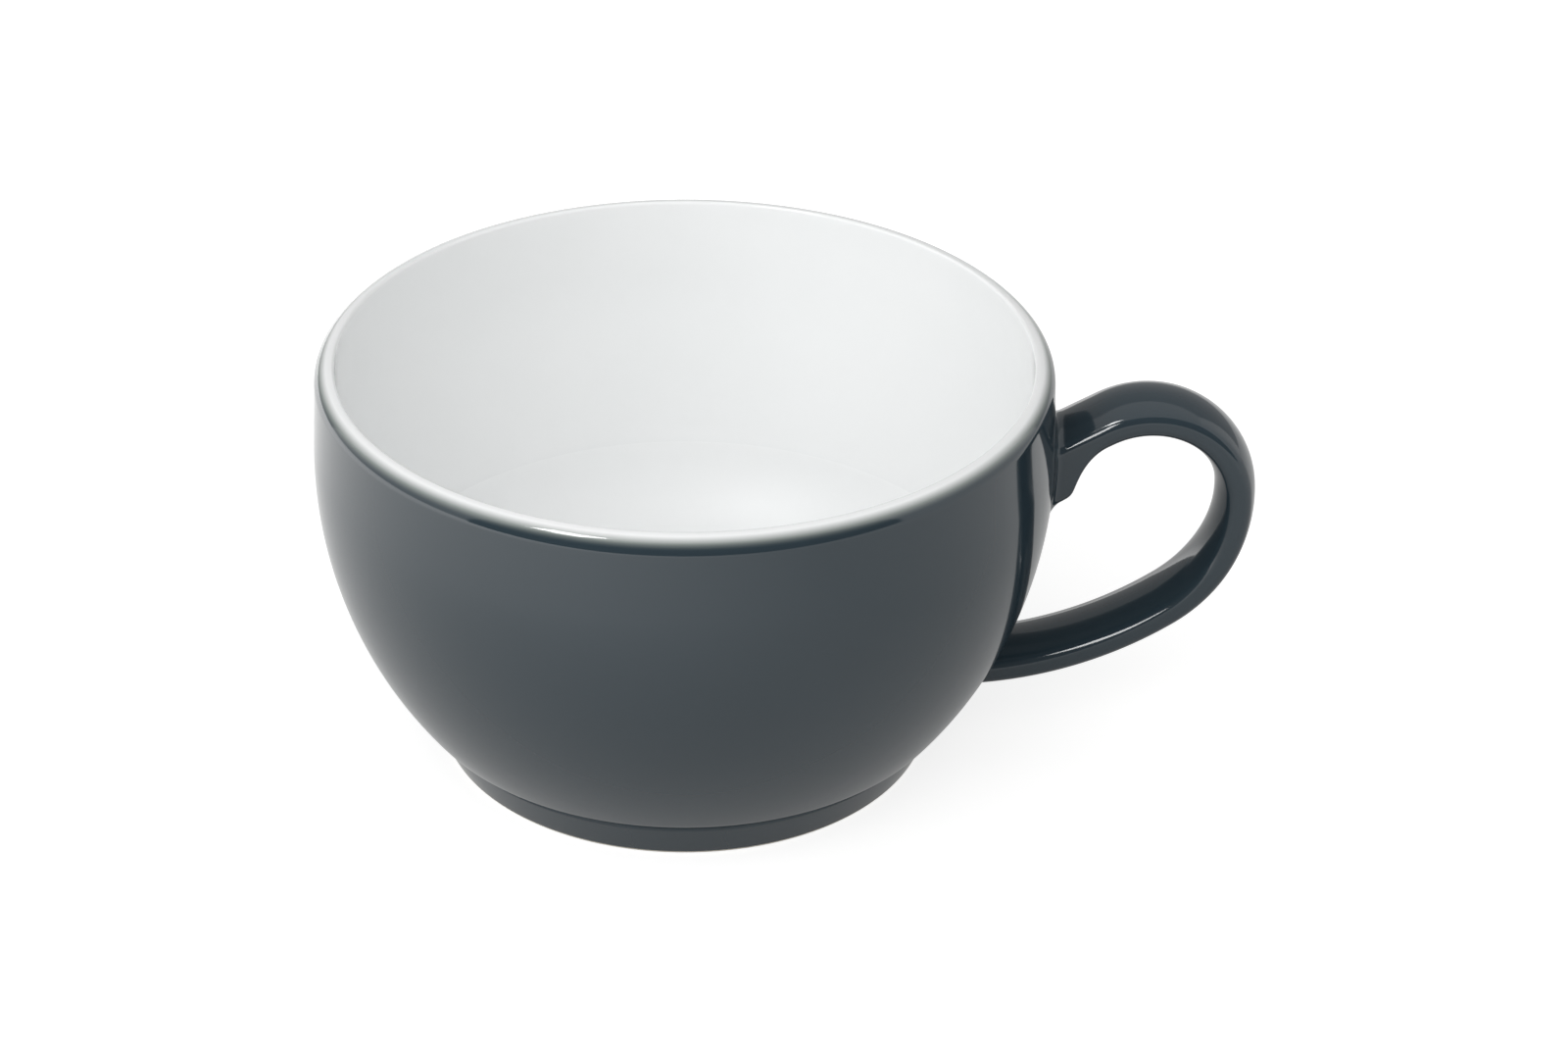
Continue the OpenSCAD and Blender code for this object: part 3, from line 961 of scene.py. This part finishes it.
    def build(self, finishes: Finishes) -> bpy.types.Object:
        """Make the handle's coat and finish its clay and its slip.

        Args:
            finishes: the cup's materials.

        Returns:
            The coat.
        """
        outer = self.skin(0.0)
        inner = self.skin(-self.glaze_t)
        count, size = len(outer), len(outer[0])
        base = count * size
        faces = []
        for i in range(count - 1):
            for j in range(size):
                a, b = i * size + j, i * size + (j + 1) % size
                faces.append((a, a + size, b + size, b))
                faces.append((base + a, base + b, base + b + size, base + a + size))
        last = (count - 1) * size
        for j in range(size):
            k = (j + 1) % size
            faces.append((j, k, base + k, base + j))
            faces.append((last + k, last + j, base + last + j, base + last + k))
        data = bpy.data.meshes.new("slate_handle_coat")
        data.from_pydata([p * MM for ring in outer + inner for p in ring], [], faces)
        data.materials.append(finishes.materials[Slot.SLATE])
        source = add_object("slate_handle_coat_form", data)
        coat = plain_piece("slate_handle_coat", source)
        finishes.dress_piece(coat, Slot.SLATE, "handle_glaze")
        finishes.dress_node("handle", Slot.BISQUE)
        finishes.dress_node("upper_slip_joint", Slot.SLIP)
        finishes.dress_node("lower_slip_joint", Slot.SLIP)
        return coat


@dataclass(frozen=True)
class Lamp:
    """A flat soft lamp that faces the cup."""

    name: str
    way: Point3
    distance_m: float
    sides_m: tuple[float, float]
    watt: float
    lights: bool = True
    is_mirrored: bool = True

    def hang(self) -> bpy.types.Object:
        """Hang the lamp.

        Returns:
            The lamp, which lights matt surfaces, is mirrored in glossy ones, or both.
        """
        data = bpy.data.lights.new(self.name, "AREA")
        data.shape = "RECTANGLE"
        data.size, data.size_y = self.sides_m
        data.energy = self.watt
        lamp = add_object(self.name, data)
        place = Vector(self.way).normalized() * self.distance_m
        lamp.location = place
        lamp.rotation_euler = place.to_track_quat("Z", "Y").to_euler()
        lamp.visible_diffuse = self.lights
        lamp.visible_glossy = self.is_mirrored
        return lamp


@dataclass(frozen=True)
class Card:
    """An even card that only mirrored rays see, as bright as its level, with 1 for white."""

    name: str
    level: float
    corners: tuple[Point3, Point3, Point3, Point3]

    def stand(self) -> None:
        """Stand the card in the studio."""
        card = flat_panel(self.name, self.corners)
        material, shader = new_material(self.name + "_cloth")
        feed(shader, {"Base Color": PURE_BLACK, "Specular IOR Level": 0.0,
                      "Emission Color": PURE_WHITE, "Emission Strength": self.level})
        card.data.materials.append(material)
        card.visible_camera = False
        card.visible_diffuse = False
        card.visible_shadow = False


@dataclass
class Studio:
    """A plain pale floor, four soft lamps, three cards, an even room and the camera."""

    lens_mm: float = 81.0
    sensor_mm: float = 36.0
    near_clip_m: float = 0.01
    target_z_mm: float = 30.4
    distance_mm: float = 509.7
    elevation: float = 30.78
    target_px: tuple[float, float] = (698.7, 548.6)
    floor_m: float = 6.0
    floor_hex: str = "B6B6B5"
    floor_roughness: float = 0.9
    floor_lift: float = 0.75
    # Painted light and shade on the floor, which only mirrored rays see: brighter to the left,
    # darker close to the cup
    light_paint_left_m: float = -0.3
    light_paint_left: float = 2.0
    light_paint_right_m: float = 0.1
    light_paint_right: float = 0.55
    shade_paint_near_m: float = 0.04
    shade_paint_near_share: float = 0.3
    shade_paint_far_m: float = 0.22
    softbox: Lamp = Lamp("overhead_softbox", (-0.259, -0.206, 0.64), 0.72, (0.15, 0.15), 1.3,
                         lights=False)
    key: Lamp = Lamp("left_key", (-0.703, -0.439, 0.559), 1.2, (1.2, 1.2), 6.7,
                     is_mirrored=False)
    fill: Lamp = Lamp("front_fill", (0.1, -0.75, 0.65), 1.2, (1.2, 1.2), 5.3, is_mirrored=False)
    strip: Lamp = Lamp("handle_strip", (-0.054, -0.239, 0.171), 0.3, (0.05, 0.16), 0.3,
                       lights=False)
    front_flag: Card = Card("front_flag", 0.14, ((-0.6, -0.32, 0.001), (0.6, -0.32, 0.001),
                                                 (0.6, -0.32, 0.5), (-0.6, -0.32, 0.5)))
    back_flag: Card = Card("back_flag", 0.44, ((-1.5, 1.0, 0.001), (1.5, 1.0, 0.001),
                                               (1.5, 1.0, 1.4), (-1.5, 1.0, 1.4)))
    scrim: Card = Card("overhead_scrim", 0.84, ((-1.5, -0.9, 1.4), (1.5, -0.9, 1.4),
                                                (1.5, 1.0, 1.4), (-1.5, 1.0, 1.4)))
    world_level: float = 0.48

    def build(self, handle: bpy.types.Object) -> None:
        """Set up the floor, the lamps, the cards, the world and the camera.

        Args:
            handle: the handle's coat, which has a strip lamp to itself.
        """
        self.add_floor()
        self.softbox.hang()
        self.key.hang()
        self.fill.hang()
        self.add_strip(handle)
        for card in (self.front_flag, self.back_flag, self.scrim):
            card.stand()
        self.set_world()
        self.add_camera()
        bpy.context.scene.view_settings.view_transform = "Standard"
        LOG.info("studio: floor, four lamps, three cards and the camera")

    def add_floor(self) -> None:
        """Lay the pale floor, which shows near white and keeps the cup's shadow; in mirrored rays
        it carries painted light and shade.
        """
        half = self.floor_m / 2
        floor = flat_panel("pale_floor", [(-half, -half, 0), (half, -half, 0), (half, half, 0),
                                          (-half, half, 0)])
        material, shader = new_material("pale_studio_floor")
        tree = material.node_tree
        # Painted light: for mirrored rays the floor glows brighter to the left, as the body's
        # mirror images of the table show
        place = add_node(tree, "ShaderNodeTexCoord").outputs["Object"]
        across = add_node(tree, "ShaderNodeSeparateXYZ", {}, {"Vector": place})
        painted_light = add_node(tree, "ShaderNodeMapRange", {},
                        {"Value": across.outputs["X"], "From Min": self.light_paint_left_m,
                         "From Max": self.light_paint_right_m, "To Min": self.light_paint_left,
                         "To Max": self.light_paint_right})
        # Painted shade: close to the cup the floor that mirrored rays see is darker, as a table is
        # under every object that stands on it
        radius = add_node(tree, "ShaderNodeVectorMath", {"operation": "LENGTH"}, {0: place})
        near = add_node(tree, "ShaderNodeMapRange", {},
                        {"Value": radius.outputs["Value"], "From Min": self.shade_paint_near_m,
                         "From Max": self.shade_paint_far_m, "To Min": self.shade_paint_near_share})
        shade = add_node(tree, "ShaderNodeMath", {"operation": "MULTIPLY"},
                         {0: painted_light.outputs["Result"], 1: near.outputs["Result"]})
        camera = add_node(tree, "ShaderNodeLightPath").outputs["Is Camera Ray"]
        level = add_node(tree, "ShaderNodeMix", {"data_type": "FLOAT"},
                         {"Factor": camera, 2: shade.outputs[0], 3: self.floor_lift})
        lift = add_node(tree, "ShaderNodeMath", {"operation": "MULTIPLY"},
                        {0: self.seen_directly(tree), 1: level.outputs[0]})
        feed(shader, {"Base Color": linear(self.floor_hex), "Roughness": self.floor_roughness,
                      "Emission Color": PURE_WHITE, "Emission Strength": lift.outputs[0]})
        floor.data.materials.append(material)

    def seen_directly(self, tree: bpy.types.NodeTree) -> bpy.types.NodeSocket:
        """Tell the rays that show a thing to the camera, directly or in a mirror.

        Args:
            tree: the tree that asks.

        Returns:
            A socket that is 1 for camera, glossy and transmission rays.
        """
        path = add_node(tree, "ShaderNodeLightPath").outputs
        first = add_node(tree, "ShaderNodeMath", {"operation": "MAXIMUM"},
                         {0: path["Is Camera Ray"], 1: path["Is Glossy Ray"]})
        both = add_node(tree, "ShaderNodeMath", {"operation": "MAXIMUM"},
                        {0: first.outputs[0], 1: path["Is Transmission Ray"]})
        return both.outputs[0]

    def add_strip(self, handle: bpy.types.Object) -> None:
        """Hang the strip that gives the handle's front edges their streaks.

        Args:
            handle: the one piece that it lights.
        """
        strip = self.strip.hang()
        strip.visible_camera = False
        lit = bpy.data.collections.new("lit_by_the_strip")
        lit.objects.link(handle)
        strip.light_linking.receiver_collection = lit

    def set_world(self) -> None:
        """Light the room evenly, and show it white where it is seen directly."""
        world = bpy.data.worlds.new("pale_room")
        world.use_nodes = True
        tree = world.node_tree
        back = tree.nodes["Background"]
        level = add_node(tree, "ShaderNodeMapRange", {},
                         {"Value": self.seen_directly(tree), "To Min": self.world_level})
        feed(back, {"Color": PURE_WHITE, "Strength": level.outputs["Result"]})
        bpy.context.scene.world = world

    def add_camera(self) -> None:
        """Put the camera at the photograph's angle and frame."""
        rise = math.radians(self.elevation)
        target = Vector((0.0, 0.0, self.target_z_mm * MM))
        offset = Vector((0.0, -math.cos(rise), math.sin(rise))) * self.distance_mm * MM
        data = bpy.data.cameras.new("camera")
        data.lens = self.lens_mm
        data.sensor_width = self.sensor_mm
        data.shift_x = (IMAGE_WIDTH_PX / 2 - self.target_px[0]) / IMAGE_WIDTH_PX
        data.shift_y = (self.target_px[1] - IMAGE_HEIGHT_PX / 2) / IMAGE_WIDTH_PX
        data.clip_start = self.near_clip_m
        camera = add_object("camera", data)
        camera.location = target + offset
        camera.rotation_euler = offset.to_track_quat("Z", "Y").to_euler()
        bpy.context.scene.camera = camera


def flat_panel(name: str, corners: Sequence[Point3]) -> bpy.types.Object:
    """Make a flat four-cornered panel.

    Args:
        name: its name.
        corners: its corners in order, in metres.

    Returns:
        The panel.
    """
    data = bpy.data.meshes.new(name)
    data.from_pydata(corners, [], [(0, 1, 2, 3)])
    return add_object(name, data)


def main() -> None:
    """Build the cup's pieces in order, then the studio."""
    logging.basicConfig(level=logging.INFO, format="%(name)s: %(message)s")
    finishes = Finishes()
    wheel = Wheel()
    bowl = Bowl(wheel)
    bowl.build(finishes)
    Foot(wheel).build(finishes)
    handle_coat = Handle(bowl).build(finishes)
    Studio().build(handle_coat)


if __name__ == "__main__":
    main()
